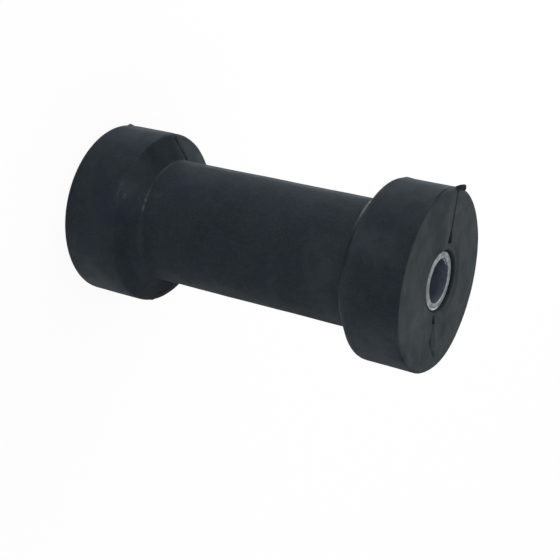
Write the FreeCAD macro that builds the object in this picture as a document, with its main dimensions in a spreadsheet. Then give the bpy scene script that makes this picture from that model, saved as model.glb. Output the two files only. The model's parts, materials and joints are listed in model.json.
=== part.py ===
import FreeCAD, Part
import math
import os
import Sketcher

# Boat trailer keel roller: one moulded rubber body on a steel sleeve.
# Millimetres. The origin is the middle of the bore, and +Z runs along the roller's axis.
# The mould parts in the XZ plane, so its parting line runs down the +X and -X sides.
# The roller stands on its lower end face, at half its length below the origin.

# Driving dimensions, by the names that the sheet gives them
SIZES = {
    "roller_length": 200.0,
    "flange_diameter": 94.0,
    "waist_diameter": 67.0,
    "rim_width": 32.5,
    "shoulder_width": 7.5,
    "outer_corner_radius": 2.2,
    "inner_corner_radius": 3.7,
    "mouth_chamfer": 1.8,
    "sleeve_diameter": 30.0,
    "sleeve_wall": 3.5,
    "sleeve_recess": 2.1,
    "sleeve_chamfer": 0.5,
    "bead_height": 0.35,
    "bead_width": 0.7,
    "bead_end_gap": 3.0,
    "flash_length": 6.3,
    "flash_overhang": 3.2,
    "flash_height": 2.5,
    "flash_tip_height": 2.0,
    "flash_tip_depth": 0.6,
    "flash_thickness": 1.5,
    "flash_tip_radius": 0.5,
    "flash_root": 1.6,
}

doc = FreeCAD.newDocument("boat_trailer_roller")
sheet = doc.addObject("Spreadsheet::Sheet", "sizes")
for row, (alias, value) in enumerate(SIZES.items(), start=1):
    sheet.set(f"A{row}", alias)
    sheet.set(f"B{row}", str(value))
    sheet.setAlias(f"B{row}", alias)
doc.recompute()

# How closely an edge must match the size it is looked up by
MATCH = 1e-4

# Sheet expressions that more than one feature uses
HALF_LENGTH = "sizes.roller_length / 2"
FLANGE_RADIUS = "sizes.flange_diameter / 2"
WAIST_RADIUS = "sizes.waist_diameter / 2"
SLEEVE_RADIUS = "sizes.sleeve_diameter / 2"
RIM_CORNER = "(sizes.roller_length / 2 - sizes.rim_width)"
WAIST_CORNER = "(sizes.roller_length / 2 - sizes.rim_width - sizes.shoulder_width)"
SHOULDER_ANGLE = "atan((sizes.flange_diameter - sizes.waist_diameter) / 2 / sizes.shoulder_width)"


def number(expression):
    """The value of a sheet expression, in millimetres."""
    value = sheet.evalExpression(expression)
    return float(getattr(value, "Value", value))


def new_body(name):
    body = doc.addObject("PartDesign::Body", name)
    body.Label = name
    return body


def origin_plane(body, role):
    return next(item for item in body.Origin.OriginFeatures if item.Role == role)


def new_sketch(body, name, role):
    sketch = body.newObject("Sketcher::SketchObject", name)
    sketch.AttachmentSupport = [(origin_plane(body, role), "")]
    sketch.MapMode = "FlatFace"
    return sketch


def bind(sketch, constraint, expression):
    """Add a dimension to a sketch and drive it from the sheet."""
    index = sketch.addConstraint(constraint)
    sketch.setExpression(f"Constraints[{index}]", expression)


def place_point(sketch, geometry, end, across, up):
    """Place one point of a sketch by its two distances from the origin."""
    bind(sketch, Sketcher.Constraint("DistanceX", -1, 1, geometry, end, number(across)), across)
    bind(sketch, Sketcher.Constraint("DistanceY", -1, 1, geometry, end, number(up)), up)


def rounded_outline(sketch, corners):
    """Draw a closed outline of straight sides and tangent arcs.

    Each corner is (across, up, radius) in sheet expressions, and a radius of None is a sharp corner.
    A rounded corner keeps a construction point where its two sides would meet, and that is what is placed.
    """
    points = [FreeCAD.Vector(number(across), number(up), 0) for across, up, _ in corners]
    count = len(points)
    arrive = []
    leave = []
    arcs = {}
    for index, (_, _, radius) in enumerate(corners):
        corner = points[index]
        if radius is None:
            arrive.append(corner)
            leave.append(corner)
            continue
        back = (points[index - 1] - corner).normalize()
        ahead = (points[(index + 1) % count] - corner).normalize()
        half_angle = back.getAngle(ahead) / 2
        size = number(radius)
        start = corner + back * (size / math.tan(half_angle))
        end = corner + ahead * (size / math.tan(half_angle))
        middle_line = (back + ahead).normalize()
        crown = corner + middle_line * (size / math.sin(half_angle) - size)
        arrive.append(start)
        leave.append(end)
        arcs[index] = Part.Arc(start, crown, end)

    sides = [
        sketch.addGeometry(Part.LineSegment(leave[index], arrive[(index + 1) % count]), False)
        for index in range(count)
    ]
    for index, (across, up, radius) in enumerate(corners):
        side_in = sides[index - 1]
        side_out = sides[index]
        if radius is None:
            sketch.addConstraint(Sketcher.Constraint("Coincident", side_in, 2, side_out, 1))
            place_point(sketch, side_out, 1, across, up)
            continue
        arc = sketch.addGeometry(arcs[index], False)
        # An arc's own ends run anticlockwise, so the end that meets the incoming side is found by place
        first_end = sketch.getPoint(arc, 1)
        meets_first = first_end.distanceToPoint(arrive[index]) < first_end.distanceToPoint(leave[index])
        end_in, end_out = (1, 2) if meets_first else (2, 1)
        sketch.addConstraint(Sketcher.Constraint("Tangent", side_in, 2, arc, end_in))
        sketch.addConstraint(Sketcher.Constraint("Tangent", side_out, 1, arc, end_out))
        bind(sketch, Sketcher.Constraint("Radius", arc, number(radius)), radius)
        corner_point = sketch.addGeometry(Part.Point(points[index]), True)
        sketch.addConstraint(Sketcher.Constraint("PointOnObject", corner_point, 1, side_in))
        sketch.addConstraint(Sketcher.Constraint("PointOnObject", corner_point, 1, side_out))
        place_point(sketch, corner_point, 1, across, up)


def circle(sketch, radius):
    """Draw a circle round the origin."""
    middle = FreeCAD.Vector(0, 0, 0)
    axis = FreeCAD.Vector(0, 0, 1)
    ring = sketch.addGeometry(Part.Circle(middle, axis, number(radius)), False)
    sketch.addConstraint(Sketcher.Constraint("Coincident", ring, 3, -1, 1))
    bind(sketch, Sketcher.Constraint("Radius", ring, number(radius)), radius)


def ring_edges(feature, radius, height):
    """Names of the feature's circular edges of one radius, at one height above and below the middle."""
    names = []
    for index, edge in enumerate(feature.Shape.Edges, start=1):
        if not isinstance(edge.Curve, Part.Circle):
            continue
        same_size = math.isclose(edge.Curve.Radius, radius, abs_tol=MATCH)
        same_level = math.isclose(abs(edge.Curve.Center.z), height, abs_tol=MATCH)
        if same_size and same_level:
            names.append(f"Edge{index}")
    return names


def half_outline(skin, end, end_radius):
    """Corners of an outline on the +X side, from the lower end to the upper.

    It lies outside the rims, shoulders and waist by the skin, and stops at the same distance each way.
    """
    rim = f"({FLANGE_RADIUS} + {skin})"
    waist = f"({WAIST_RADIUS} + {skin})"
    # A parallel line outside the shoulder meets the rim and the waist this much nearer the middle
    shift = f"{skin} * tan({SHOULDER_ANGLE} / 2)"
    rim_corner = f"({RIM_CORNER} - {shift})"
    waist_corner = f"({WAIST_CORNER} - {shift})"
    inner_radius = f"sizes.inner_corner_radius + {skin}"
    return [
        ("0", f"-{end}", None),
        (rim, f"-{end}", end_radius),
        (rim, f"-{rim_corner}", inner_radius),
        (waist, f"-{waist_corner}", None),
        (waist, waist_corner, None),
        (rim, rim_corner, inner_radius),
        (rim, end, end_radius),
        ("0", end, None),
    ]


# Rubber roller
roller = new_body("rubber_roller")

section = new_sketch(roller, "roller_section", "XZ_Plane")
rounded_outline(section, half_outline("0", HALF_LENGTH, "sizes.outer_corner_radius"))
turned = roller.newObject("PartDesign::Revolution", "roller_blank")
turned.Profile = section
turned.ReferenceAxis = (section, ["V_Axis"])
turned.Angle = 360
doc.recompute()

# Parting line: a fine bead that follows the outline down both sides of the mould, short of the rounded ends
parting_outline = new_sketch(roller, "parting_outline", "XZ_Plane")
BEAD_END = f"({HALF_LENGTH} - sizes.bead_end_gap)"
rounded_outline(parting_outline, half_outline("sizes.bead_height", BEAD_END, None))
bead = roller.newObject("PartDesign::Pad", "parting_bead")
bead.Profile = parting_outline
bead.SideType = "Symmetric"
bead.setExpression("Length", "sizes.bead_width")
doc.recompute()
both_beads = roller.newObject("PartDesign::Mirrored", "parting_bead_both_sides")
both_beads.Originals = [bead]
both_beads.MirrorPlane = (origin_plane(roller, "YZ_Plane"), [""])
roller.Tip = both_beads
doc.recompute()

# Flash: a horn of rubber left on the parting line at the upper end, leaning out past the end face
flash_outline = new_sketch(roller, "flash_outline", "XZ_Plane")
FLASH_START = f"({HALF_LENGTH} + sizes.flash_overhang - sizes.flash_length)"
FLASH_FOOT = f"({FLANGE_RADIUS} - sizes.flash_root)"
TIP_RADIUS = "sizes.flash_tip_radius"
rounded_outline(
    flash_outline,
    [
        (FLASH_FOOT, FLASH_START, None),
        (FLANGE_RADIUS, FLASH_START, None),
        (f"{FLANGE_RADIUS} + sizes.flash_height", f"{HALF_LENGTH} + sizes.flash_overhang / 2", TIP_RADIUS),
        (f"{FLANGE_RADIUS} + sizes.flash_tip_height", f"{HALF_LENGTH} + sizes.flash_overhang", TIP_RADIUS),
        (f"{FLANGE_RADIUS} - sizes.flash_tip_depth", f"{HALF_LENGTH} + sizes.flash_overhang", TIP_RADIUS),
        (FLASH_FOOT, f"{HALF_LENGTH} - sizes.outer_corner_radius / 2", None),
    ],
)
flash = roller.newObject("PartDesign::Pad", "flash_horn")
flash.Profile = flash_outline
flash.SideType = "Symmetric"
flash.setExpression("Length", "sizes.flash_thickness")
roller.Tip = flash
doc.recompute()

# Bore: the sleeve's outer size right through, bevelled where it opens in the end faces
bore_circle = new_sketch(roller, "bore_circle", "XY_Plane")
circle(bore_circle, SLEEVE_RADIUS)
bore = roller.newObject("PartDesign::Pocket", "bore")
bore.Profile = bore_circle
bore.SideType = "Symmetric"
bore.Type = "ThroughAll"
doc.recompute()
mouths = roller.newObject("PartDesign::Chamfer", "bore_mouths")
mouths.Base = (bore, ring_edges(bore, number(SLEEVE_RADIUS), number(HALF_LENGTH)))
mouths.setExpression("Size", "sizes.mouth_chamfer")
doc.recompute()

# Steel sleeve: a length of tube bonded in the bore, its ends just inside the rubber
sleeve = new_body("steel_sleeve")
sleeve_circles = new_sketch(sleeve, "sleeve_circles", "XY_Plane")
circle(sleeve_circles, SLEEVE_RADIUS)
circle(sleeve_circles, f"{SLEEVE_RADIUS} - sizes.sleeve_wall")
tube = sleeve.newObject("PartDesign::Pad", "sleeve_tube")
tube.Profile = sleeve_circles
tube.SideType = "Symmetric"
tube.setExpression("Length", "sizes.roller_length - 2 * sizes.sleeve_recess")
doc.recompute()
sleeve_end = number(f"{HALF_LENGTH} - sizes.sleeve_recess")
sleeve_edges = ring_edges(tube, number(SLEEVE_RADIUS), sleeve_end)
sleeve_edges += ring_edges(tube, number(f"{SLEEVE_RADIUS} - sizes.sleeve_wall"), sleeve_end)
broken_edges = sleeve.newObject("PartDesign::Chamfer", "sleeve_chamfers")
broken_edges.Base = (tube, sleeve_edges)
broken_edges.setExpression("Size", "sizes.sleeve_chamfer")
doc.recompute()

# Check every feature, then write one file for each piece
for item in doc.Objects:
    if "Invalid" in item.State or "Error" in item.State:
        raise RuntimeError(f"{item.Name} failed: {item.State}")
pieces = [roller, sleeve]
for piece in pieces:
    if piece.Shape.isNull() or not piece.Shape.isValid():
        raise RuntimeError(f"{piece.Label} has no valid shape")
os.makedirs("parts", exist_ok=True)
for piece in pieces:
    piece.Shape.exportStep(f"parts/{piece.Label}.step")
    print(piece.Label, len(piece.Shape.Solids), "solid,", round(piece.Shape.Volume), "mm3")
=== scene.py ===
import json
import math

import bpy
from mathutils import Matrix, Vector, noise


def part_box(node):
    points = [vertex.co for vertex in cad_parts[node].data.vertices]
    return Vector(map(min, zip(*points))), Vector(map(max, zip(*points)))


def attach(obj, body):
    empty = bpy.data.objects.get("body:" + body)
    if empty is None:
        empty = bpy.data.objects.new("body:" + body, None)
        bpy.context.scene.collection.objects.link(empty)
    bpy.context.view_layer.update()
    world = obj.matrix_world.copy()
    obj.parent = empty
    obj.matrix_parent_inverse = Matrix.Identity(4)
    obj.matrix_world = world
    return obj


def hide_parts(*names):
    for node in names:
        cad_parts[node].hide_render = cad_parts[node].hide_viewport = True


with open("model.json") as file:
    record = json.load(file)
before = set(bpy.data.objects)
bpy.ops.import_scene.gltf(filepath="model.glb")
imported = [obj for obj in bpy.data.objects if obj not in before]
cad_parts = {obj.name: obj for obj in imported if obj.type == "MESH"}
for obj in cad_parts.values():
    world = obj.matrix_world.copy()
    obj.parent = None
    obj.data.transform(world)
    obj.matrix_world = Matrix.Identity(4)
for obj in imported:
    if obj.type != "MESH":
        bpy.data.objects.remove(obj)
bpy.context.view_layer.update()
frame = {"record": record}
scene = bpy.context.scene
scene.view_settings.view_transform = "Standard"

MM = 0.001

# Sizes of the roller in millimetres. Its axis is Z, and heights count from its middle
SLEEVE_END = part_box("steel_sleeve")[1].z / MM
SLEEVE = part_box("steel_sleeve")[1].x / MM
SLEEVE_BORE = frame["record"]["mounts"][0]["dims"]["r_mm"]
SLEEVE_SHORT = 2.1
END = SLEEVE_END + SLEEVE_SHORT
RIM = -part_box("rubber_roller")[0].y / MM
WAIST = 33.5
LOWER_RIM = -67.4
LOWER_CREASE = -59.9
UPPER_CREASE = 60.8
UPPER_RIM = 68.4
MOUTH = 17.1
MOUTH_FOOT = 97.5
SKIN_END = 97.0

# The steel tube's edges
TUBE_CHAMFER = 0.45
BORE_BEVEL = 0.15

# How finely the turned meshes are divided: columns round the axis, and degrees of an arc from point to point
RUBBER_COLUMNS = 256
STEEL_COLUMNS = 192
ARC_STEP = 13.0

# How far the marks on both pieces stand out or go in
BEAD_HEIGHT = 0.3
SHOULDER_LEAN = 1.8
MOULD_STEP = 0.3
OPENING_DEPTH = 1.8
GROOVE_DEPTH = 0.3
CRUMB_HEIGHT = 0.9
CREASE_DEPTH = 0.45
NICK_DEPTH = 0.5
RIDGE_HEIGHT = 0.35
FOLD_HEIGHT = 0.9
LOWER_NUB = 0.9
UPPER_NUB = 0.5
SWELL = 0.35
RIPPLE = 0.10
SAW_WAVE = 0.12

# The torn flash on the lower shoulder: where it crosses a height, and how it slants off the parting plane
FLASH_HEIGHT = -66.0
FLASH_ACROSS = 1.6
FLASH_SLANT = -0.93

# The openings in the upper end face, as reaches along X from the bore outwards
UPPER_OPENING = (19.0, 26.5)
LOWER_OPENING = (-16.9, -21.7)

# The crease and the ridge beside it on the lower half of the upper end face, as X and Y
CREASE = [
    (-22.2, 0.5), (-25.5, 1.2), (-27.6, 1.0), (-30.1, 1.2),
    (-33.3, 0.2), (-35.5, -2.5), (-37.4, -5.0), (-39.3, -6.8),
]
RIDGE = [(-22.5, -1.2), (-25.1, -1.8), (-29.1, -3.9), (-33.5, -6.4)]

# All points of the upper end face lie above this height
UPPER_FACE = 96.5

# The part of the end face that is torn and creased, as its reaches along X and Y
TORN_ALONG = (-45.5, -17.3)
TORN_ACROSS = (-13.0, 5.5)

# The flash horn, step by step, as moves and changes of size of its end
HORN_STEPS = [
    ((0.5, 0.0, 1.0), (1.35, 0.95, 0.85)),
    ((0.6, -0.1, 1.4), (1.2, 0.9, 0.7)),
    ((0.4, -0.1, 1.2), (1.0, 0.85, 0.6)),
    ((0.0, -0.2, 0.5), (0.8, 0.6, 0.5)),
]

# Finishes
RUBBER_ROUGHNESS = 0.66
RUBBER_SHINE = 0.06
STEEL_ROUGHNESS = 0.42

# Colours of the rubber
RUBBER_DARK = (0.0118, 0.0166, 0.0212, 1.0)
RUBBER_LIGHT = (0.0212, 0.0282, 0.0342, 1.0)
RUBBER_BLOOM = (0.0150, 0.0182, 0.0300, 1.0)
# Painted light on the end faces
FACE_PAINTED_LIGHT = (0.105, 0.122, 0.120, 1.0)
# Pale colour for scuff marks and paler bands, and for painted highlights and painted reflected light
PALE_MARKS_AND_LIGHT = (0.110, 0.130, 0.143, 1.0)
# Painted highlight on the upper crease
CREASE_GLINT = (0.60, 0.63, 0.65, 1.0)
TORN_TIP = (0.052, 0.043, 0.038, 1.0)
# Dark colour for soiling and for painted shade in hollows, creases and at edges
GRIME_AND_SHADE = (0.0010, 0.0022, 0.0034, 1.0)

# Colours of the steel
STEEL_DARK = (0.15, 0.17, 0.185, 1.0)
STEEL_LIGHT = (0.42, 0.445, 0.46, 1.0)
# Painted shade on the near side of the sawn end
STEEL_SHADED = (0.15, 0.165, 0.18, 1.0)
STEEL_OXIDE = (0.115, 0.125, 0.135, 1.0)
# Painted highlight low on the sawn end
STEEL_HIGHLIGHT = (0.66, 0.68, 0.69, 1.0)
STEEL_NOTCH = (0.10, 0.11, 0.12, 1.0)
# The bore, painted darker and bluer as its shade and dim reflection, and darker still on its lower wall
BORE_DARK = (0.095, 0.115, 0.155, 1.0)
BORE_LIGHT = (0.185, 0.215, 0.28, 1.0)
BORE_LOWER = (0.070, 0.084, 0.092, 1.0)

# Camera, with the directions that are right and up in the picture, and the light
CAMERA_PLACE = (0.08786, 0.55011, 0.30029)
PICTURE_RIGHT = Vector((0.14963, -0.48347, 0.86248))
PICTURE_UP = Vector((0.97426, -0.07668, -0.21201))
LENS = 76.74
LAMP_PLACE = Vector((1.22, -0.60, 0.18))
LAMP_SIZE = (1.2, 0.8)
LAMP_POWER = 17.0
LAMP_COLOUR = (0.94, 0.985, 0.965)
WORLD_LIGHT = 0.9
FLOOR_SIZE = 6.0
FLOOR_GLOW = 0.92
FLOOR_COLOUR = (0.9, 0.9, 0.9, 1.0)


# Selecting and shaping in edit mode

def make_active(piece):
    bpy.ops.object.select_all(action="DESELECT")
    piece.select_set(True)
    bpy.context.view_layer.objects.active = piece


def start_editing(piece, mode):
    make_active(piece)
    bpy.ops.object.mode_set(mode="EDIT")
    bpy.ops.mesh.select_mode(type=mode)
    bpy.ops.mesh.select_all(action="DESELECT")
    bpy.ops.object.mode_set(mode="OBJECT")


def select_points(piece, wanted):
    start_editing(piece, "VERT")
    for vertex in piece.data.vertices:
        vertex.select = wanted(vertex.co / MM)
    bpy.ops.object.mode_set(mode="EDIT")


def select_faces(piece, wanted):
    start_editing(piece, "FACE")
    for polygon in piece.data.polygons:
        polygon.select = wanted(polygon.center / MM)
    bpy.ops.object.mode_set(mode="EDIT")


def select_edges(piece, wanted):
    start_editing(piece, "EDGE")
    points = piece.data.vertices
    for edge in piece.data.edges:
        first, second = edge.vertices
        edge.select = wanted(points[first].co / MM, points[second].co / MM)
    bpy.ops.object.mode_set(mode="EDIT")


def finish_editing():
    bpy.ops.object.mode_set(mode="OBJECT")


def stretch_out(shift, size):
    bpy.ops.mesh.extrude_region()
    bpy.ops.transform.translate(value=[part * MM for part in shift])
    bpy.ops.transform.resize(value=size)


def press(piece, direction, amount, weight, texture=None):
    """Moves the surface by amount millimetres along a direction, by a weight from 0 to 1 at each point."""
    group = piece.vertex_groups.new(name="press")
    for vertex in piece.data.vertices:
        value = weight(vertex.co / MM)
        if value > 0.001:
            group.add([vertex.index], min(value, 1.0), "REPLACE")
    modifier = piece.modifiers.new("press", "DISPLACE")
    modifier.vertex_group = group.name
    modifier.direction = direction
    modifier.strength = amount * MM
    modifier.mid_level = 0.0
    if texture is not None:
        modifier.texture = texture
        modifier.texture_coords = "LOCAL"
        modifier.mid_level = 0.5
    make_active(piece)
    bpy.ops.object.modifier_apply(modifier=modifier.name)
    piece.vertex_groups.remove(piece.vertex_groups["press"])


def clouds(name, size, depth):
    texture = bpy.data.textures.new(name, "CLOUDS")
    texture.noise_scale = size * MM
    texture.noise_depth = depth
    return texture


def shade_smoothly(piece, sharp_from):
    make_active(piece)
    bpy.ops.object.shade_smooth_by_angle(angle=math.radians(sharp_from))


# Weights and places

def smooth(low, high, value):
    """0 where the value is low, 1 where it is high, and smooth between them."""
    share = min(max((value - low) / (high - low), 0.0), 1.0)
    return share * share * (3.0 - 2.0 * share)


def hill(away, spread):
    """1 at no distance, and falling off over the spread."""
    return math.exp(-(away / spread) ** 2)


def reach_of(point):
    return math.hypot(point.x, point.y)


def turn_of(point):
    return math.degrees(math.atan2(point.y, point.x)) % 360.0


def distance_to_line(p, line):
    spot = Vector((p.x, p.y))
    nearest = math.inf
    for a, b in zip(line, line[1:]):
        start = Vector(a)
        way = Vector(b) - start
        share = min(max((spot - start).dot(way) / way.length_squared, 0.0), 1.0)
        nearest = min(nearest, (spot - start - way * share).length)
    return nearest


# Turned profiles

def rounded_corner(before, corner, after, rounding):
    """The point where an arc leaves the line from before, and the arc's further points."""
    back = (before - corner).normalized()
    ahead = (after - corner).normalized()
    half = back.angle(ahead) / 2.0
    reach = rounding / math.tan(half)
    entry = corner + back * reach
    leave = corner + ahead * reach
    middle = corner + (back + ahead).normalized() * (rounding / math.sin(half))
    first = entry - middle
    side = 1.0 if first.cross(leave - middle) > 0.0 else -1.0
    sweep = math.pi - 2.0 * half
    steps = max(3, round(math.degrees(sweep) / ARC_STEP))
    arc = [middle + Matrix.Rotation(side * sweep * step / steps, 2) @ first for step in range(1, steps)]
    return entry, arc + [leave]


def rounded_profile(corners):
    """Points along corners, each given as radius, height, rounding, and spacing on the way to it."""
    points = [Vector(corners[0][:2])]
    for index in range(1, len(corners)):
        corner = Vector(corners[index][:2])
        rounding, spacing = corners[index][2:]
        entry, arc = corner, []
        if rounding > 0.0 and index < len(corners) - 1:
            before = Vector(corners[index - 1][:2])
            after = Vector(corners[index + 1][:2])
            entry, arc = rounded_corner(before, corner, after, rounding)
        start = points[-1]
        cuts = max(1, round((entry - start).length / spacing))
        for cut in range(1, cuts + 1):
            points.append(start.lerp(entry, cut / cuts))
        points.extend(arc)
    return points


def turned_skin(name, points, columns):
    """A ring extruded and resized from point to point of the profile, and closed by a bridge."""
    bpy.ops.object.select_all(action="DESELECT")
    bpy.ops.mesh.primitive_circle_add(vertices=columns, radius=points[0].x * MM, fill_type="NOTHING")
    piece = bpy.context.object
    piece.name = name
    bpy.ops.object.mode_set(mode="EDIT")
    bpy.ops.mesh.select_mode(type="EDGE")
    bpy.ops.mesh.select_all(action="SELECT")
    bpy.ops.transform.translate(value=(0, 0, points[0].y * MM))
    for before, after in zip(points, points[1:]):
        rise = (after.y - before.y) * MM
        share = after.x / before.x
        bpy.ops.mesh.extrude_region_move(TRANSFORM_OT_translate={"value": (0, 0, rise)})
        bpy.ops.transform.resize(value=(share, share, 1.0), center_override=(0, 0, 0))
    finish_editing()

    ends = (points[0].y, points[-1].y)
    inner = max(points[0].x, points[-1].x) + 0.05

    def in_open_ring(p):
        return reach_of(p) < inner and min(abs(p.z - end) for end in ends) < 0.01
    select_points(piece, in_open_ring)
    bpy.ops.mesh.bridge_edge_loops()
    bpy.ops.mesh.select_all(action="SELECT")
    bpy.ops.mesh.remove_doubles(threshold=0.000001)
    bpy.ops.mesh.normals_make_consistent(inside=False)
    finish_editing()
    return piece


# The rubber moulding

def moulded_skin():
    """The moulding from its lower mouth over the rims, shoulders and waist to its upper mouth."""
    behind_sleeve = SLEEVE - 0.1
    mouth_foot = SLEEVE + 0.25
    lip = MOUTH - 0.6
    fine_from = 25.0
    corners = [
        (behind_sleeve, -SKIN_END, 0.0, 3.0),
        (mouth_foot, -MOUTH_FOOT, 0.0, 1.0),
        (lip, -END, 1.1, 0.8),
        (RIM, -END, 2.1, 2.4),
        (RIM, LOWER_RIM, 2.8, 2.4),
        (WAIST, LOWER_CREASE, 1.0, 1.3),
        (WAIST, UPPER_CREASE, 1.0, 3.6),
        (RIM, UPPER_RIM, 6.0, 1.3),
        (RIM, END, 2.2, 2.4),
        (fine_from, END, 0.0, 1.4),
        (lip, END, 1.2, 0.5),
        (mouth_foot, MOUTH_FOOT, 0.0, 0.4),
        (behind_sleeve, SKIN_END, 0.0, 1.0),
    ]
    return turned_skin("rubber_moulding", rounded_profile(corners), RUBBER_COLUMNS)


def cut_seam_strips(piece):
    """Fine strips on both sides of the parting line, which runs round the roller in the XZ plane."""
    def on_parting_line(a, b):
        return abs(a.y) < 0.02 and abs(b.y) < 0.02 and (a - b).length > 0.01
    select_edges(piece, on_parting_line)
    bpy.ops.mesh.bevel(offset_type="PERCENT", offset_pct=85.0, segments=8, affect="EDGES", profile=0.5)
    finish_editing()


def cut_fine_patch(piece):
    """A finer mesh where the end face is torn and creased below the bore."""
    def in_torn_part(c):
        along = TORN_ALONG[0] < c.x < TORN_ALONG[1]
        across = TORN_ACROSS[0] < c.y < TORN_ACROSS[1]
        return c.z > END - 0.5 and along and across
    select_faces(piece, in_torn_part)
    bpy.ops.mesh.subdivide(number_cuts=1)
    finish_editing()


def raise_parting_bead(piece):
    """The fine bead that the mould leaves where its halves meet, which fades out at both ends."""
    bead_end = 97.0

    def weight(p):
        reach = reach_of(p)
        inside = reach < WAIST - 0.5 or abs(p.z) > bead_end
        far_shoulder = p.x < 0.0 and WAIST + 0.5 < reach < RIM - 1.0
        if inside or far_shoulder:
            return 0.0
        across = 1.0 - smooth(0.1, 0.65, abs(p.y))
        fading = smooth(bead_end, bead_end - 4.0, abs(p.z))
        uneven = 0.6 + 0.5 * noise.noise(Vector((p.x * 0.1, 3.0, p.z * 0.05)))
        return across * fading * max(uneven, 0.0)
    press(piece, "NORMAL", BEAD_HEIGHT, weight)


def sag_near_side(piece):
    """The near side of the upper end is as low as the sleeve's end, and the mouth is dished."""
    foot = 97.6

    def weight(p):
        if p.z < foot:
            return 0.0
        turn = turn_of(p)
        outward = (reach_of(p) - SLEEVE) / (RIM - SLEEVE)
        begins = 12.0 - 8.0 * outward
        full = 48.0 - 3.0 * outward
        around = smooth(begins, full, turn) * smooth(214.0, 130.0, turn)
        dished = 0.28 * smooth(MOUTH + 4.0, MOUTH + 0.3, reach_of(p))
        return max(around, dished) * min((p.z - foot) / (END - foot), 1.0)
    press(piece, "Z", -SLEEVE_SHORT, weight)


def lean_shoulder(piece):
    """The upper shoulder leans in a little on the near side."""
    def weight(p):
        turn = turn_of(p)
        along = smooth(56.5, 61.5, p.z) * smooth(82.0, 66.0, p.z)
        return along * smooth(82.0, 98.0, turn) * smooth(135.0, 102.0, turn)
    press(piece, "Z", -SHOULDER_LEAN, weight)


def step_parting(piece):
    """The two halves of the mould meet with a small step on the upper half of the end face."""
    def weight(p):
        if p.z < 98.5 or p.y < 0.15 or p.x < 19.3:
            return 0.0
        return hill(p.y, 6.0) * min((p.z - 98.0) / 1.5, 1.0)
    press(piece, "Z", -MOULD_STEP, weight)


def upper_opening(p):
    """A wedge above the bore, wide at its foot and pointed outwards."""
    foot, tip = UPPER_OPENING
    if p.z < UPPER_FACE or not foot < p.x < tip:
        return 0.0
    middle = 0.2 - 0.14 * (25.0 - p.x)
    wide = 0.25 + 0.26 * (25.5 - p.x)
    across = 1.0 - smooth(wide - 0.3, wide + 0.3, abs(p.y - middle))
    return across * smooth(foot, foot + 0.5, p.x) * smooth(tip, tip - 2.0, p.x)


def lower_opening(p):
    """A wedge below the bore, pointed at the bore and wide at its outer end."""
    tip, foot = LOWER_OPENING
    if p.z < UPPER_FACE or not foot < p.x < tip:
        return 0.0
    middle = 1.9 + 0.28 * (p.x + 17.0)
    wide = 0.2 - 0.28 * (p.x + 17.0)
    across = 1.0 - smooth(wide - 0.25, wide + 0.25, abs(p.y - middle))
    return across * smooth(foot, foot + 0.4, p.x)


def tear_seam_ends(piece):
    """Wedge-shaped openings where the parting line reaches the bore."""
    for opening in (upper_opening, lower_opening):
        press(piece, "Z", -OPENING_DEPTH, opening)


def tear_shoulder(piece):
    """Flash torn off the lower shoulder leaves a slanting groove, with crumbled rubber at its rim end."""
    def groove(p):
        if not -67.2 < p.z < LOWER_CREASE or p.x < 0.0:
            return 0.0
        line = FLASH_ACROSS + FLASH_SLANT * (p.z - FLASH_HEIGHT)
        return hill(p.y - line, 1.1) * smooth(-67.0, -65.6, p.z)
    press(piece, "NORMAL", -GROOVE_DEPTH, groove)

    def crumbled(p):
        if not -68.2 < p.z < -63.0 or p.x < 0.0:
            return 0.0
        return hill(p.z + 66.2, 1.3) * hill(p.y + 4.5, 5.0)
    press(piece, "NORMAL", CRUMB_HEIGHT, crumbled, clouds("crumbs", 1.9, 1))


def in_crease(p):
    """How deep a point lies in the crease of the end face, which is deeper in two stretches."""
    if p.z < UPPER_FACE or not -41.0 < p.x < -22.0:
        return 0.0
    depth = 0.35 + 0.65 * max(hill(p.x + 31.0, 3.0), hill(p.x + 38.0, 1.8))
    return depth * hill(distance_to_line(p, CREASE), 1.05)


def in_edge_nick(p):
    """A nick in the rim's edge beside the crease."""
    if p.z < 95.0 or reach_of(p) < 44.5:
        return 0.0
    return hill(turn_of(p) - 142.5, 8.0) * hill(p.z - 97.1, 0.9)


def crease_lower_face(piece):
    """A shallow crease that wanders off the parting line, and the ridge and folds beside it."""
    press(piece, "Z", -CREASE_DEPTH, in_crease)
    press(piece, "NORMAL", -NICK_DEPTH, in_edge_nick)

    def ridge(p):
        if p.z < UPPER_FACE or p.x > -21.0:
            return 0.0
        return hill(distance_to_line(p, RIDGE), 1.1)
    press(piece, "Z", RIDGE_HEIGHT, ridge)

    def folded(p):
        if p.z < UPPER_FACE:
            return 0.0
        return 0.9 * hill(p.x + 25.0, 10.0) * hill(p.y + 10.0, 9.0)
    press(piece, "Z", FOLD_HEIGHT, folded, clouds("folds", 4.2, 1))


def raise_nubs(piece):
    """Two small nubs on the parting line, at the lower end and on the upper rim."""
    def nub(height, width, length):
        return lambda p: hill(p.y, width) * hill(p.z - height, length) if p.x > 40.0 else 0.0
    press(piece, "X", LOWER_NUB, nub(-98.4, 1.3, 1.5))
    press(piece, "X", UPPER_NUB, nub(72.9, 1.2, 1.4))


def pull_flash_horn(piece):
    """Flash torn off at the upper edge of the parting line leaves a small horn."""
    select_faces(piece, lambda c: c.x > RIM - 1.7 and abs(c.y) < 0.95 and 97.7 < c.z < 100.3)
    for shift, size in HORN_STEPS:
        stretch_out(shift, size)
    finish_editing()


def roughen(piece):
    """The moulding is a little uneven all over, so that light doesn't run along it as on a turned part."""
    def weight(p):
        if reach_of(p) < SLEEVE + 1.0:
            return 0.0
        return smooth(-END + 0.2, -END + 3.0, p.z)
    press(piece, "NORMAL", SWELL, weight, clouds("swell", 26.0, 1))
    press(piece, "NORMAL", RIPPLE, weight, clouds("ripple", 5.0, 2))


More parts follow.
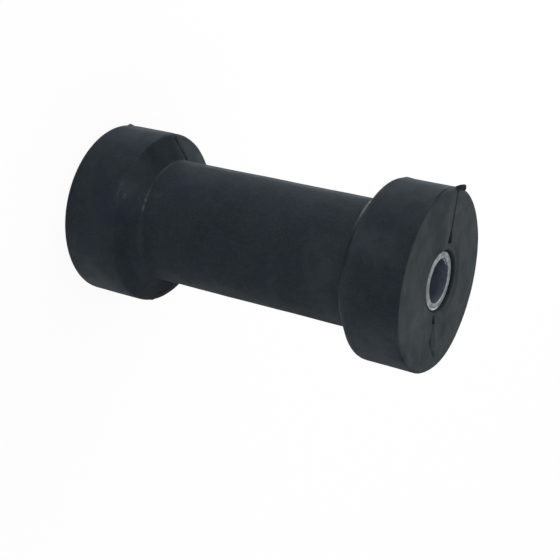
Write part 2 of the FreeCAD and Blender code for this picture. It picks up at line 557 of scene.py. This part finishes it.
def mark_dirt_and_shade(piece):
    """Dirt and painted shade: stores at each point how much lies in the openings, the crease and the nick of
    the end face.
    """
    dirt_and_shade = piece.data.attributes.new(name="dirt_and_shade", type="FLOAT", domain="POINT")
    for vertex in piece.data.vertices:
        p = vertex.co / MM
        opening = max(upper_opening(p), lower_opening(p))
        dirt_and_shade.data[vertex.index].value = max(0.9 * opening, 0.55 * in_crease(p), 0.6 * in_edge_nick(p))


# The steel sleeve

def sleeve_tube():
    """The tube, with broken edges and fine rings down its bore at the end that is seen."""
    corners = [
        (SLEEVE_BORE, -SLEEVE_END + 0.2, 0.0, 1.0),
        (SLEEVE_BORE + BORE_BEVEL, -SLEEVE_END, 0.05, 0.3),
        (SLEEVE, -SLEEVE_END, TUBE_CHAMFER, 0.4),
        (SLEEVE, SLEEVE_END, TUBE_CHAMFER, 5.0),
        (SLEEVE_BORE + BORE_BEVEL, SLEEVE_END, 0.05, 0.4),
        (SLEEVE_BORE, SLEEVE_END - 0.2, 0.0, 0.2),
        (SLEEVE_BORE, SLEEVE_END - 0.7, 0.0, 0.4),
        (SLEEVE_BORE, SLEEVE_END - 1.2, 0.0, 0.5),
        (SLEEVE_BORE, SLEEVE_END - 8.0, 0.0, 0.6),
    ]
    return turned_skin("steel_tube", rounded_profile(corners), STEEL_COLUMNS)


def saw_ends(piece):
    """Ends as a saw leaves them: a little uneven, with a ragged burr at the inner edge."""
    def near_ends(p):
        return smooth(SLEEVE_END - 0.9, SLEEVE_END - 0.3, abs(p.z))
    press(piece, "Z", SAW_WAVE, near_ends, clouds("saw_waves", 3.0, 2))

    for first, last in ((308.0, 352.0), (315.0, 346.0)):
        def hanging(c):
            on_wall = reach_of(c) < SLEEVE_BORE + 0.05
            return on_wall and SLEEVE_END - 1.2 < c.z < SLEEVE_END - 0.7 and first < turn_of(c) < last
        select_faces(piece, hanging)
        bpy.ops.mesh.extrude_region()
        bpy.ops.transform.resize(value=(0.965, 0.965, 1.0), center_override=(0, 0, 0))
        finish_editing()


# Shader nodes

# Sockets of a Mix node that blends colours
MIX_FACTOR, MIX_FIRST, MIX_SECOND, MIX_RESULT = 0, 6, 7, 2


def wire(tree, value, socket):
    """Joins an output to a socket, or sets the socket's own value."""
    if isinstance(value, bpy.types.NodeSocket):
        tree.links.new(value, socket)
    else:
        socket.default_value = value


def work_out(tree, operation, *values):
    node = tree.nodes.new("ShaderNodeMath")
    node.operation = operation
    for value, socket in zip(values, node.inputs):
        wire(tree, value, socket)
    return node.outputs[0]


def join_up(tree, operation, values):
    result = values[0]
    for value in values[1:]:
        result = work_out(tree, operation, result, value)
    return result


def product(tree, *values):
    return join_up(tree, "MULTIPLY", values)


def total(tree, *values):
    return join_up(tree, "ADD", values)


def largest(tree, *values):
    return join_up(tree, "MAXIMUM", values)


def less(tree, value, taken):
    return work_out(tree, "SUBTRACT", value, taken)


def scaled(tree, value, factor, start):
    return work_out(tree, "MULTIPLY_ADD", value, factor, start)


def fade(tree, value, start, end):
    """0 where the value is start, 1 where it is end, and smooth between them."""
    node = tree.nodes.new("ShaderNodeMapRange")
    node.interpolation_type = "SMOOTHSTEP"
    wire(tree, value, node.inputs["Value"])
    wire(tree, start, node.inputs["From Min"])
    wire(tree, end, node.inputs["From Max"])
    return node.outputs["Result"]


def near(tree, value, middle, core, edge):
    """1 within core of the middle, falling to 0 at edge."""
    away = work_out(tree, "ABSOLUTE", less(tree, value, middle))
    return fade(tree, away, edge, core)


def between(tree, value, rise, fall):
    """Rises from 0 to 1 over one span of the value and falls back to 0 over another."""
    return product(tree, fade(tree, value, rise[0], rise[1]), fade(tree, value, fall[1], fall[0]))


def patch(tree, at, height, turn):
    """A soft patch round a height and a turn, each given as a middle, a core and an edge."""
    return product(tree, near(tree, at["Height"], *height), near(tree, at["Turn"], *turn))


def mark(tree, strength, *masks):
    """What the masks have in common, at a strength."""
    return product(tree, *masks, strength)


def speckle(tree, place, size, detail, distortion=0.0):
    """Noise with lumps of about size millimetres."""
    node = tree.nodes.new("ShaderNodeTexNoise")
    wire(tree, place, node.inputs["Vector"])
    wire(tree, work_out(tree, "DIVIDE", 1.0 / MM, size), node.inputs["Scale"])
    node.inputs["Detail"].default_value = detail
    node.inputs["Distortion"].default_value = distortion
    return node.outputs["Fac"]


def blend_colours(tree, share, first, second):
    """The first colour where share is 0, and the second where it is 1."""
    node = tree.nodes.new("ShaderNodeMix")
    node.data_type = "RGBA"
    wire(tree, share, node.inputs[MIX_FACTOR])
    wire(tree, first, node.inputs[MIX_FIRST])
    wire(tree, second, node.inputs[MIX_SECOND])
    return node.outputs[MIX_RESULT]


def coat_over(tree, colour, coats):
    """Lays coats over a colour one after another, each given as the share that it covers and its colour."""
    for share, coat in coats:
        colour = blend_colours(tree, share, colour, coat)
    return colour


# Node groups that both materials use

def new_group(name, inputs, outputs):
    tree = bpy.data.node_groups.new(name, "ShaderNodeTree")
    for label, kind in inputs:
        tree.interface.new_socket(label, in_out="INPUT", socket_type=kind)
    for label in outputs:
        tree.interface.new_socket(label, in_out="OUTPUT", socket_type="NodeSocketFloat")
    return tree, tree.nodes.new("NodeGroupInput").outputs, tree.nodes.new("NodeGroupOutput").inputs


def use_group(tree, group, **values):
    node = tree.nodes.new("ShaderNodeGroup")
    node.node_tree = group
    for label, value in values.items():
        wire(tree, value, node.inputs[label])
    return node.outputs


def around_axis_group():
    """Where a point lies on a turned piece: in millimetres, and its turn in degrees from -180 to 180."""
    outputs = ["Radius", "Height", "Turn", "Along", "Across", "Far", "Off_top", "Whole_turn"]
    tree, given, result = new_group("around_axis", [("Place", "NodeSocketVector")], outputs)
    parts = tree.nodes.new("ShaderNodeSeparateXYZ")
    tree.links.new(given["Place"], parts.inputs[0])
    along, across, height = [work_out(tree, "DIVIDE", parts.outputs[axis], MM) for axis in "XYZ"]
    squares = total(tree, product(tree, along, along), product(tree, across, across))
    turn = work_out(tree, "DEGREES", work_out(tree, "ARCTAN2", across, along))
    wire(tree, work_out(tree, "SQRT", squares), result["Radius"])
    wire(tree, height, result["Height"])
    wire(tree, turn, result["Turn"])
    wire(tree, along, result["Along"])
    wire(tree, across, result["Across"])
    wire(tree, work_out(tree, "ABSOLUTE", height), result["Far"])
    wire(tree, work_out(tree, "ABSOLUTE", turn), result["Off_top"])
    wire(tree, work_out(tree, "WRAP", turn, 360.0, 0.0), result["Whole_turn"])
    return tree


def grain_group():
    """Fine surface grain: a shade and a height, both from 0 to 1."""
    sockets = [("Place", "NodeSocketVector"), ("Size", "NodeSocketFloat")]
    tree, given, result = new_group("surface_grain", sockets, ["Shade", "Height"])
    coarse = speckle(tree, given["Place"], given["Size"], 3.0)
    fine = speckle(tree, given["Place"], product(tree, given["Size"], 0.3), 2.0)
    wire(tree, fade(tree, coarse, 0.3, 0.7), result["Shade"])
    wire(tree, total(tree, product(tree, coarse, 0.7), product(tree, fine, 0.3)), result["Height"])
    return tree


def stain_group():
    """Patches that cover a share of the surface, from 0 to 1, with a soft or a sharp edge."""
    sockets = [("Place", "NodeSocketVector"), ("Size", "NodeSocketFloat"),
               ("Cover", "NodeSocketFloat"), ("Softness", "NodeSocketFloat")]
    tree, given, result = new_group("surface_stains", sockets, ["Mask"])
    lumps = speckle(tree, given["Place"], given["Size"], 5.0, 0.4)
    bare_level, full_drop = 0.66, 0.32
    level = less(tree, bare_level, product(tree, given["Cover"], full_drop))
    half = product(tree, given["Softness"], 0.5)
    wire(tree, fade(tree, lumps, less(tree, level, half), total(tree, level, half)), result["Mask"])
    return tree


# Marks, painted light and painted shade on the rubber. Turns are in degrees from the upper parting line,
# towards the near side

def crease_highlight_lines(tree, at, specks):
    """Painted highlights: pale lines in the creases where the shoulders meet the waist."""
    height, turn = at["Height"], at["Turn"]
    faint = mark(tree, 0.06, fade(tree, turn, 6.0, 26.0))
    thick = mark(tree, 0.38, fade(tree, turn, 53.0, 70.0))
    lower_arc = product(tree, total(tree, faint, thick), fade(tree, turn, 83.0, 76.0))
    broken = scaled(tree, specks, 0.6, 0.4)
    lower = product(tree, near(tree, height, LOWER_CREASE + 0.4, 0.3, 0.9), lower_arc, broken)
    upper_arc = between(tree, turn, (6.0, 18.0), (26.0, 68.0))
    upper = mark(tree, 0.4, near(tree, height, UPPER_CREASE - 0.4, 0.4, 1.4), upper_arc)
    beside_waist = fade(tree, at["Radius"], WAIST + 2.4, WAIST + 1.2)
    return product(tree, largest(tree, lower, upper), beside_waist)


def scuffs_and_edge_highlight(tree, at, specks):
    """Scuffs on the lower rim's worn edge, with a painted highlight along that edge, and on the shoulder
    beside it.
    """
    worn_edge_and_highlight = patch(tree, at, (-68.2, 0.2, 0.9), (69.5, 3.0, 7.5))
    scratch = patch(tree, at, (-65.9, 0.2, 0.9), (71.5, 2.0, 5.0))
    nick = mark(tree, 0.5, patch(tree, at, (-61.4, 0.4, 1.5), (71.5, 1.2, 3.2)))
    return mark(tree, 0.22, largest(tree, worn_edge_and_highlight, scratch, nick), specks)


def paler_bands_and_painted_light(tree, at, patches):
    """Rubber a little paler in bands on the near side, with a painted glint on the waist's top, painted
    reflected light low on both rims and a painted highlight along the top.
    """
    height, turn = at["Height"], at["Turn"]
    shoulder = mark(tree, 0.07, patch(tree, at, (-66.5, 1.0, 6.0), (69.0, 3.0, 12.0)))
    scuffed = mark(tree, 0.055, patch(tree, at, (-58.5, 4.5, 13.0), (71.0, 8.0, 17.0)))
    # A painted glint on the waist's top beside the lower rim
    waist_top_glint = mark(tree, 0.10, patch(tree, at, (-52.0, 4.0, 9.0), (9.0, 2.0, 9.0)))

    upper_band = near(tree, turn, 70.0, 3.0, 15.0)
    upper_band = mark(tree, 0.075, upper_band, between(tree, height, (44.0, 57.0), (84.0, 100.0)))
    waist_end = near(tree, height, 55.0, 2.0, 26.0)
    waist_end = mark(tree, 0.075, waist_end, between(tree, turn, (50.0, 74.0), (150.0, 172.0)))
    crease_side = near(tree, height, -58.9, 0.5, 2.6)
    crease_side = mark(tree, 0.058, crease_side, between(tree, turn, (54.0, 72.0), (112.0, 130.0)))

    # Painted reflected light low on both rims
    lower_side_light = fade(tree, height, -68.0, -89.0)
    lower_side_light = mark(tree, 0.135, lower_side_light, between(tree, turn, (98.0, 128.0), (152.0, 178.0)))
    upper_side_light = fade(tree, height, 67.0, 75.0)
    upper_side_light = mark(tree, 0.095, upper_side_light, between(tree, turn, (104.0, 132.0), (154.0, 178.0)))

    # A painted highlight along the top, off the shoulders and the ends
    off_shoulders = less(tree, 1.0, near(tree, at["Far"], 64.0, 4.2, 5.5))
    outside = fade(tree, at["Radius"], RIM - 14.5, RIM - 13.8)
    off_ends = fade(tree, at["Far"], END - 0.8, END - 2.6)
    top_highlight = mark(tree, 0.2, fade(tree, at["Off_top"], 15.0, 4.0), off_shoulders, outside, off_ends)

    bands = largest(tree, shoulder, scuffed, waist_top_glint, upper_band, waist_end, crease_side)
    pale_and_lit = largest(tree, bands, lower_side_light, upper_side_light, top_highlight)
    return product(tree, pale_and_lit, scaled(tree, patches, 0.4, 0.8))


def painted_end_face_light(tree, at, patches):
    """Painted light: the end faces are painted paler than the rest, most of all below the bore, and less
    towards the rim on the lower near side.
    """
    face = product(tree, fade(tree, at["Far"], 97.2, 97.8), fade(tree, at["Radius"], RIM - 0.2, RIM - 1.2))
    below_bore = near(tree, at["Whole_turn"], 176.0, 14.0, 44.0)
    at_rim = near(tree, at["Turn"], 138.0, 16.0, 40.0)
    at_rim = mark(tree, 0.62, at_rim, fade(tree, at["Radius"], 32.0, 40.0))
    strength = product(tree, scaled(tree, below_bore, 0.075, 0.12), less(tree, 1.0, at_rim))
    return product(tree, face, strength, scaled(tree, patches, 0.3, 0.85))


def painted_crease_glint(tree, at):
    """A painted highlight on the upper crease, which runs slightly askew, brightest near the top."""
    line = scaled(tree, at["Turn"], 0.062, 57.55)
    width = near(tree, less(tree, at["Height"], line), 0.0, 0.15, 0.9)
    arc = between(tree, at["Turn"], (7.0, 12.0), (28.0, 44.0))
    strength = scaled(tree, fade(tree, at["Turn"], 20.0, 12.0), 0.5, 0.11)
    return product(tree, width, arc, strength, fade(tree, at["Radius"], WAIST + 1.6, WAIST + 0.8))


def torn_tip(tree, at, specks):
    """The horn's tip is torn rubber with a brown cast."""
    tip = product(tree, fade(tree, at["Height"], 101.2, 102.2), fade(tree, at["Radius"], 46.6, 47.6))
    return mark(tree, 0.8, tip, fade(tree, specks, 0.2, 0.7))


# Soiling and painted shade inside the lips of the bore mouths
def shade_and_grime_in_bore_mouths(tree, at):
    inside_lip = fade(tree, at["Radius"], MOUTH - 0.3, MOUTH - 1.5)
    return mark(tree, 0.6, inside_lip, fade(tree, at["Far"], 94.0, 96.0))


def grime_on_seam(tree, at):
    """Dirt along the parting line of the end face, thicker towards the bore."""
    foot = UPPER_OPENING[0]
    line = product(tree, near(tree, at["Across"], 0.15, 0.2, 0.8), fade(tree, at["Height"], 97.0, 97.6))
    strength = scaled(tree, fade(tree, at["Along"], 34.0, 25.0), 0.22, 0.14)
    return product(tree, line, fade(tree, at["Along"], foot, foot + 1.0), strength)


def grime_and_shade_on_lower_shoulder(tree, at):
    """Dirt in the torn groove and a pit beside it, and painted shade there, under the rim and on the far
    side.
    """
    height, along = at["Height"], at["Along"]
    upper_half = fade(tree, along, 20.0, 25.0)
    line = scaled(tree, less(tree, height, FLASH_HEIGHT), FLASH_SLANT, FLASH_ACROSS)
    groove = near(tree, less(tree, at["Across"], line), 0.0, 0.3, 1.9)
    groove = mark(tree, 0.6, groove, near(tree, height, -63.2, 3.0, 4.0), upper_half)
    pit = product(tree, near(tree, height, -60.4, 0.3, 1.0), near(tree, at["Across"], -3.7, 0.4, 1.5))
    pit = mark(tree, 0.9, pit, upper_half)
    # Painted shade beside the groove, under the rim and on the far side
    shade_by_groove = mark(tree, 0.42, patch(tree, at, (-63.6, 3.2, 4.2), (22.0, 10.0, 30.0)))
    under_rim = near(tree, height, -65.2, 1.8, 2.7)
    under_rim = mark(tree, 0.16, under_rim, between(tree, at["Turn"], (92.0, 112.0), (152.0, 168.0)))
    far_side = near(tree, height, -62.5, 2.0, 5.0)
    far_side = mark(tree, 0.63, far_side, near(tree, at["Whole_turn"], 200.0, 10.0, 46.0))
    return largest(tree, groove, pit, shade_by_groove, under_rim, far_side)


def painted_shade_on_upper_rim(tree, at):
    """Painted shade: thin dark lines along the end face's edge, at the top and on the far side, and shade in
    a fold of the shoulder.
    """
    top_edge = product(tree, near(tree, at["Height"], 97.5, 0.15, 0.8), fade(tree, at["Radius"], 45.4, 46.2))
    top_edge = mark(tree, 0.62, top_edge, near(tree, at["Turn"], 12.0, 12.0, 22.0))
    far_edge = product(tree, near(tree, at["Radius"], 46.6, 0.4, 1.2), fade(tree, at["Height"], 98.0, 98.6))
    far_edge = mark(tree, 0.4, far_edge, near(tree, at["Whole_turn"], 262.0, 80.0, 92.0))
    fold = mark(tree, 0.28, patch(tree, at, (63.1, 1.6, 3.8), (72.0, 6.0, 18.0)))
    return largest(tree, top_edge, far_edge, fold)


# Materials

def new_material(name):
    material = bpy.data.materials.new(name)
    material.use_nodes = True
    tree = material.node_tree
    place = tree.nodes.new("ShaderNodeTexCoord").outputs["Object"]
    return material, tree, tree.nodes["Principled BSDF"], place


def add_bump(tree, shader, height, strength, depth):
    bump = tree.nodes.new("ShaderNodeBump")
    bump.inputs["Strength"].default_value = strength
    bump.inputs["Distance"].default_value = depth * MM
    wire(tree, height, bump.inputs["Height"])
    wire(tree, bump.outputs["Normal"], shader.inputs["Normal"])


def rubber_material(around_axis, surface_grain, surface_stains):
    """Black moulded rubber with bloom, scuff marks, paler bands, painted light on the end faces, painted
    highlights on the creases and rims, and soiling with painted shade where it is torn and in its hollows.
    """
    material, tree, shader, place = new_material("black_rubber")
    at = use_group(tree, around_axis, Place=place)
    grain = use_group(tree, surface_grain, Place=place, Size=1.3)

    def stains(size, cover, softness):
        return use_group(tree, surface_stains, Place=place, Size=size, Cover=cover, Softness=softness)["Mask"]
    wide = stains(38.0, 0.5, 0.30)
    patches = stains(9.0, 0.5, 0.24)
    bloom = stains(17.0, 0.20, 0.16)
    specks = stains(2.6, 0.55, 0.2)

    pale_marks_and_light = largest(tree, crease_highlight_lines(tree, at, specks), scuffs_and_edge_highlight(tree, at, specks))
    pale_marks_and_light = largest(tree, pale_marks_and_light, paler_bands_and_painted_light(tree, at, patches))
    marked = tree.nodes.new("ShaderNodeAttribute")
    marked.attribute_name = "dirt_and_shade"
    marks = [shade_and_grime_in_bore_mouths, grime_on_seam, grime_and_shade_on_lower_shoulder, painted_shade_on_upper_rim]
    grime_and_shade = largest(tree, marked.outputs["Fac"], *[add_mark(tree, at) for add_mark in marks])

    lightness = total(tree, mark(tree, 0.22, wide), mark(tree, 0.19, patches))
    lightness = total(tree, lightness, mark(tree, 0.43, grain["Shade"]), 0.08)
    colour = blend_colours(tree, lightness, RUBBER_DARK, RUBBER_LIGHT)
    colour = coat_over(tree, colour, [
        (mark(tree, 0.6, bloom), RUBBER_BLOOM),
        (painted_end_face_light(tree, at, patches), FACE_PAINTED_LIGHT),
        (pale_marks_and_light, PALE_MARKS_AND_LIGHT),
        (painted_crease_glint(tree, at), CREASE_GLINT),
        (torn_tip(tree, at, specks), TORN_TIP),
        (grime_and_shade, GRIME_AND_SHADE),
    ])
    wire(tree, colour, shader.inputs["Base Color"])

    polish = total(tree, mark(tree, 0.05, wide), mark(tree, 0.05, patches))
    underside = fade(tree, at["Off_top"], 136.0, 160.0)
    dullness = largest(tree, mark(tree, 0.33, grime_and_shade), mark(tree, 0.12, underside))
    wire(tree, total(tree, less(tree, RUBBER_ROUGHNESS, polish), dullness), shader.inputs["Roughness"])
    shader.inputs["Specular IOR Level"].default_value = RUBBER_SHINE
    add_bump(tree, shader, total(tree, grain["Height"], mark(tree, 0.25, patches)), 0.6, 0.12)
    return material


def turning_marks(tree, place):
    """Fine rings round the axis, as a tool leaves them."""
    rings = tree.nodes.new("ShaderNodeTexWave")
    rings.wave_type = "RINGS"
    rings.rings_direction = "Z"
    wire(tree, place, rings.inputs["Vector"])
    rings.inputs["Scale"].default_value = 420.0
    rings.inputs["Distortion"].default_value = 2.5
    rings.inputs["Detail"].default_value = 2.0
    rings.inputs["Detail Scale"].default_value = 0.5
    return rings.outputs["Fac"]


def steel_material(around_axis, surface_grain, surface_stains):
    """A sawn end with a painted highlight below and painted shade on the near side, with oxide, a ragged
    notch and a bore painted darker as its shade.
    """
    material, tree, shader, place = new_material("sawn_steel")
    at = use_group(tree, around_axis, Place=place)
    radius, far = at["Radius"], at["Far"]
    grain = use_group(tree, surface_grain, Place=place, Size=0.6)
    oxide = use_group(tree, surface_stains, Place=place, Size=3.5, Cover=0.42, Softness=0.2)["Mask"]
    rings = turning_marks(tree, place)
    streaks = total(tree, mark(tree, 0.5, grain["Shade"]), mark(tree, 0.5, rings))

    # The bore below its end, except the burr, is painted darker as its shade
    bore = fade(tree, radius, SLEEVE_BORE + 0.30, SLEEVE_BORE + 0.05)
    burr = fade(tree, radius, SLEEVE_BORE - 0.12, SLEEVE_BORE - 0.3)
    burr = product(tree, burr, fade(tree, far, SLEEVE_END - 1.5, SLEEVE_END - 1.1))
    below_end = fade(tree, far, SLEEVE_END - 0.2, SLEEVE_END - 0.45)
    deep = product(tree, bore, below_end, less(tree, 1.0, burr))
    lower_wall = fade(tree, at["Off_top"], 144.0, 178.0)
    inside = blend_colours(tree, streaks, BORE_DARK, BORE_LIGHT)
    inside = blend_colours(tree, mark(tree, 0.5, lower_wall), inside, BORE_LOWER)

    near_side = near(tree, at["Turn"], 95.0, 25.0, 75.0)
    low_highlight = near(tree, at["Off_top"], 180.0, 8.0, 28.0)
    low_highlight = product(tree, low_highlight, fade(tree, radius, SLEEVE - 1.6, SLEEVE - 1.1))
    ragged = scaled(tree, grain["Shade"], 0.7, SLEEVE - 1.9)
    notch = product(tree, near(tree, radius, ragged, 0.2, 0.55), near(tree, at["Off_top"], 180.0, 14.0, 34.0))
    colour = blend_colours(tree, streaks, STEEL_DARK, STEEL_LIGHT)
    colour = coat_over(tree, colour, [
        (mark(tree, 0.5, near_side), STEEL_SHADED),
        (mark(tree, 0.55, oxide), STEEL_OXIDE),
        (mark(tree, 0.7, low_highlight), STEEL_HIGHLIGHT),
        (mark(tree, 0.85, notch), STEEL_NOTCH),
        (deep, inside),
    ])
    wire(tree, colour, shader.inputs["Base Color"])
    shader.inputs["Metallic"].default_value = 1.0
    wire(tree, scaled(tree, largest(tree, oxide, bore), 0.2, STEEL_ROUGHNESS), shader.inputs["Roughness"])
    add_bump(tree, shader, total(tree, mark(tree, 0.5, rings), mark(tree, 0.7, grain["Height"])), 0.5, 0.06)
    return material


# Camera, light and floor

def add_camera():
    camera = bpy.data.cameras.new("photo_camera")
    camera.lens = LENS
    camera.sensor_width = 36.0
    camera.clip_start = 0.01
    camera.clip_end = 20.0
    camera_object = bpy.data.objects.new("photo_camera", camera)
    back = PICTURE_RIGHT.cross(PICTURE_UP)
    turn = Matrix((PICTURE_RIGHT, PICTURE_UP, back)).transposed().to_4x4()
    camera_object.matrix_world = Matrix.Translation(CAMERA_PLACE) @ turn
    scene.collection.objects.link(camera_object)
    scene.camera = camera_object


def seen_directly(tree):
    """1 for what the camera, a reflection or a clear material sees of it, and 0 for the light it gives."""
    path = tree.nodes.new("ShaderNodeLightPath").outputs
    return largest(tree, path["Is Camera Ray"], path["Is Glossy Ray"], path["Is Transmission Ray"])


def add_world():
    world = bpy.data.worlds.new("studio_white")
    scene.world = world
    world.use_nodes = True
    tree = world.node_tree
    background = tree.nodes["Background"]
    background.inputs["Color"].default_value = (1.0, 1.0, 1.0, 1.0)
    strength = tree.nodes.new("ShaderNodeMapRange")
    wire(tree, seen_directly(tree), strength.inputs["Value"])
    strength.inputs["To Min"].default_value = WORLD_LIGHT
    wire(tree, strength.outputs["Result"], background.inputs["Strength"])


def add_soft_lamp():
    """A wide soft lamp beyond the top of the picture and behind the roller."""
    lamp = bpy.data.lights.new("soft_lamp", "AREA")
    lamp.shape = "RECTANGLE"
    lamp.size, lamp.size_y = LAMP_SIZE
    lamp.energy = LAMP_POWER
    lamp.color = LAMP_COLOUR
    lamp_object = bpy.data.objects.new("soft_lamp", lamp)
    facing = LAMP_PLACE.to_track_quat("Z", "Y").to_matrix().to_4x4()
    lamp_object.matrix_world = Matrix.Translation(LAMP_PLACE) @ facing
    scene.collection.objects.link(lamp_object)


def add_floor():
    """A white floor under the roller that keeps its shadow faintly."""
    bpy.ops.object.select_all(action="DESELECT")
    bpy.ops.mesh.primitive_plane_add(size=FLOOR_SIZE, location=(0, 0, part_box("rubber_roller")[0].z))
    floor = bpy.context.object
    floor.name = "floor"
    material = bpy.data.materials.new("floor_white")
    material.use_nodes = True
    tree = material.node_tree
    nodes = tree.nodes
    shader = nodes["Principled BSDF"]
    shader.inputs["Base Color"].default_value = FLOOR_COLOUR
    shader.inputs["Roughness"].default_value = 0.9
    glow = nodes.new("ShaderNodeEmission")
    glow.inputs["Strength"].default_value = 1.0
    mix = nodes.new("ShaderNodeMixShader")
    wire(tree, product(tree, seen_directly(tree), FLOOR_GLOW), mix.inputs["Fac"])
    wire(tree, shader.outputs[0], mix.inputs[1])
    wire(tree, glow.outputs[0], mix.inputs[2])
    wire(tree, mix.outputs[0], nodes["Material Output"].inputs["Surface"])
    floor.data.materials.append(material)


add_camera()
add_world()
add_soft_lamp()
add_floor()
around_axis = around_axis_group()
surface_grain = grain_group()
surface_stains = stain_group()

rubber = moulded_skin()
cut_seam_strips(rubber)
cut_fine_patch(rubber)
raise_parting_bead(rubber)
sag_near_side(rubber)
lean_shoulder(rubber)
step_parting(rubber)
tear_seam_ends(rubber)
tear_shoulder(rubber)
crease_lower_face(rubber)
raise_nubs(rubber)
pull_flash_horn(rubber)
roughen(rubber)
mark_dirt_and_shade(rubber)
shade_smoothly(rubber, 40.0)
rubber.data.materials.append(rubber_material(around_axis, surface_grain, surface_stains))
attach(rubber, "root")
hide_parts("rubber_roller")

steel = sleeve_tube()
saw_ends(steel)
shade_smoothly(steel, 35.0)
steel.data.materials.append(steel_material(around_axis, surface_grain, surface_stains))
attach(steel, "root")
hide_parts("steel_sleeve")
